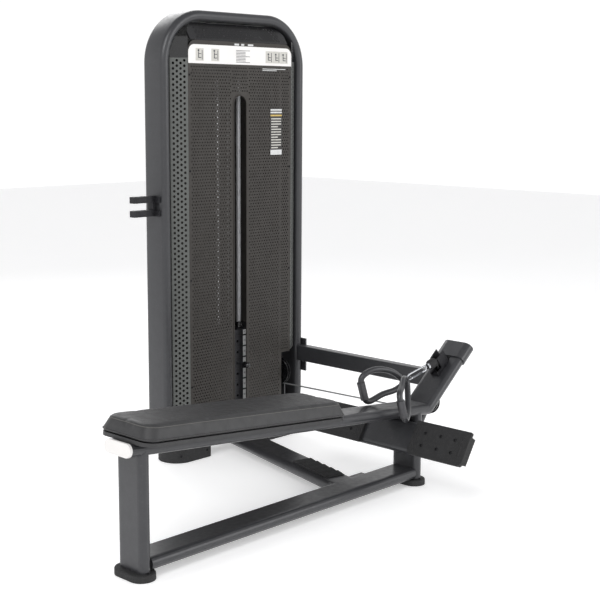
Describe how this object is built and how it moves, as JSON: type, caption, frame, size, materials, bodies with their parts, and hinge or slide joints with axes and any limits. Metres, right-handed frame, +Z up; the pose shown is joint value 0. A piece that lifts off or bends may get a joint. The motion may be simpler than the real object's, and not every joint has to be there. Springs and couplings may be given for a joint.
{
  "type": "seated cable row machine",
  "caption": "Seated cable row machine with a long padded bench, foot bar, cable mast, close-grip handle and a shrouded weight stack tower joined by a floor member.",
  "frame": {"origin": "floor plane, under the middle of the machine's bounding box", "axes": "+X along the bench from the seat end towards the cable mast, +Y from the bench towards the weight tower, +Z up"},
  "size_m": [1.6804, 1.27, 1.742],
  "materials": {
    "frame_paint": "satin anthracite",
    "cover_paint": "matt dark brown grey, perforated sheet",
    "strip_paint": "matt mid grey, perforated sheet",
    "black_plastic": "gloss black moulding",
    "rubber": "matt black",
    "steel": "polished",
    "iron": "black lacquered",
    "vinyl": "grained upholstery vinyl",
    "white_plastic": "satin off white"
  },
  "bodies": {
    "frame": {"rear_post": "frame_paint", "rear_foot": "rubber", "front_post": "frame_paint", "front_foot": "rubber", "floor_rail": "frame_paint", "bench_beam": "frame_paint", "cable_mast": "frame_paint", "beam_end_cap": "white_plastic", "mast_head_cap": "frame_paint", "seat_board": "iron", "seat_pad": "vinyl", "foot_bar": "frame_paint", "foot_pad_left": "rubber", "foot_pad_right": "rubber", "foot_bar_bracket": "frame_paint", "mast_brace": "frame_paint", "tower_ring": "frame_paint", "tower_boot_left": "rubber", "tower_boot_right": "rubber", "floor_member": "frame_paint", "anti_slip_tread": "rubber", "link_beam": "frame_paint", "accessory_hook": "iron", "front_cover": "cover_paint", "placard": "white_plastic", "side_strip_left": "strip_paint", "crown_left": "black_plastic", "side_strip_right": "strip_paint", "crown_right": "black_plastic", "rear_shell": "cover_paint", "top_grille": "strip_paint", "weight_plate_04": "iron", "weight_plate_05": "iron", "weight_plate_06": "iron", "weight_plate_07": "iron", "weight_plate_08": "iron", "guide_rod_left": "steel", "guide_rod_right": "steel", "stack_base": "iron", "crown_frame": "frame_paint", "tower_low_bracket": "frame_paint", "mast_pulley_bracket": "iron", "mast_low_bracket": "iron", "stack_cable": "iron", "drive_cable": "iron", "handle_cable": "iron"},
    "stack": {"head_plate": "iron", "selector_rod": "steel", "weight_plate_01": "iron", "weight_plate_02": "iron", "weight_plate_03": "iron"},
    "pin": {"selector_pin": "black_plastic"},
    "handle_line": {"cable_stopper": "rubber", "snap_hook": "steel"},
    "handle": {"row_handle": "frame_paint"},
    "wheel_top_stack": {"top_pulley_stack": "black_plastic"},
    "wheel_top_drop": {"top_pulley_drop": "black_plastic"},
    "wheel_tower_low": {"tower_low_pulley": "black_plastic"},
    "wheel_mast_low": {"mast_low_pulley": "black_plastic"},
    "wheel_mast_top": {"mast_top_pulley": "black_plastic"}
  },
  "joints": [
    {"name": "stack_lift", "type": "slide", "parent": "frame", "child": "stack", "axis": [0, 0, 1], "range_m": [0, 0.65], "deforming": ["stack_cable"]},
    {"name": "pin_pull", "type": "slide", "parent": "stack", "child": "pin", "axis": [0, -1, 0], "range_m": [0, 0.07]},
    {"name": "handle_pull", "type": "slide", "parent": "frame", "child": "handle_line", "axis": [-0.848, 0, 0.5299], "range_m": [0, 0.65], "deforming": ["handle_cable"]},
    {"name": "handle_swing", "type": "hinge", "parent": "handle_line", "child": "handle", "pos_m": [0.52041, -0.284, 0.3991], "axis": [0, 1, 0], "range_deg": [0, 60]},
    {"name": "turn_top_stack", "type": "hinge", "parent": "frame", "child": "wheel_top_stack", "pos_m": [0.4368, 0.553, 1.59], "axis": [0, 1, 0], "range_deg": [0, 750]},
    {"name": "turn_top_drop", "type": "hinge", "parent": "frame", "child": "wheel_top_drop", "pos_m": [0.58081, 0.553, 1.59], "axis": [0, 1, 0], "range_deg": [0, 750]},
    {"name": "turn_tower_low", "type": "hinge", "parent": "frame", "child": "wheel_tower_low", "pos_m": [0.63391, 0.5031, 0.282], "axis": [-0.9981, -0.062, 0], "range_deg": [0, 750]},
    {"name": "turn_mast_low", "type": "hinge", "parent": "frame", "child": "wheel_mast_low", "pos_m": [0.69271, -0.24906, 0.26486], "axis": [-0.9371, -0.0582, 0.3442], "range_deg": [0, 1070]},
    {"name": "turn_mast_top", "type": "hinge", "parent": "frame", "child": "wheel_mast_top", "pos_m": [0.71881, -0.284, 0.417], "axis": [0, -1, 0], "range_deg": [0, 1245]}
  ],
  "couplings": [
    {"joint": "handle_pull", "follows": "stack_lift", "ratio": 1},
    {"joint": "turn_top_stack", "follows": "stack_lift", "rad_per_m": 20},
    {"joint": "turn_top_drop", "follows": "stack_lift", "rad_per_m": 20},
    {"joint": "turn_tower_low", "follows": "stack_lift", "rad_per_m": 20},
    {"joint": "turn_mast_low", "follows": "stack_lift", "rad_per_m": 28.571},
    {"joint": "turn_mast_top", "follows": "stack_lift", "rad_per_m": 33.333}
  ]
}
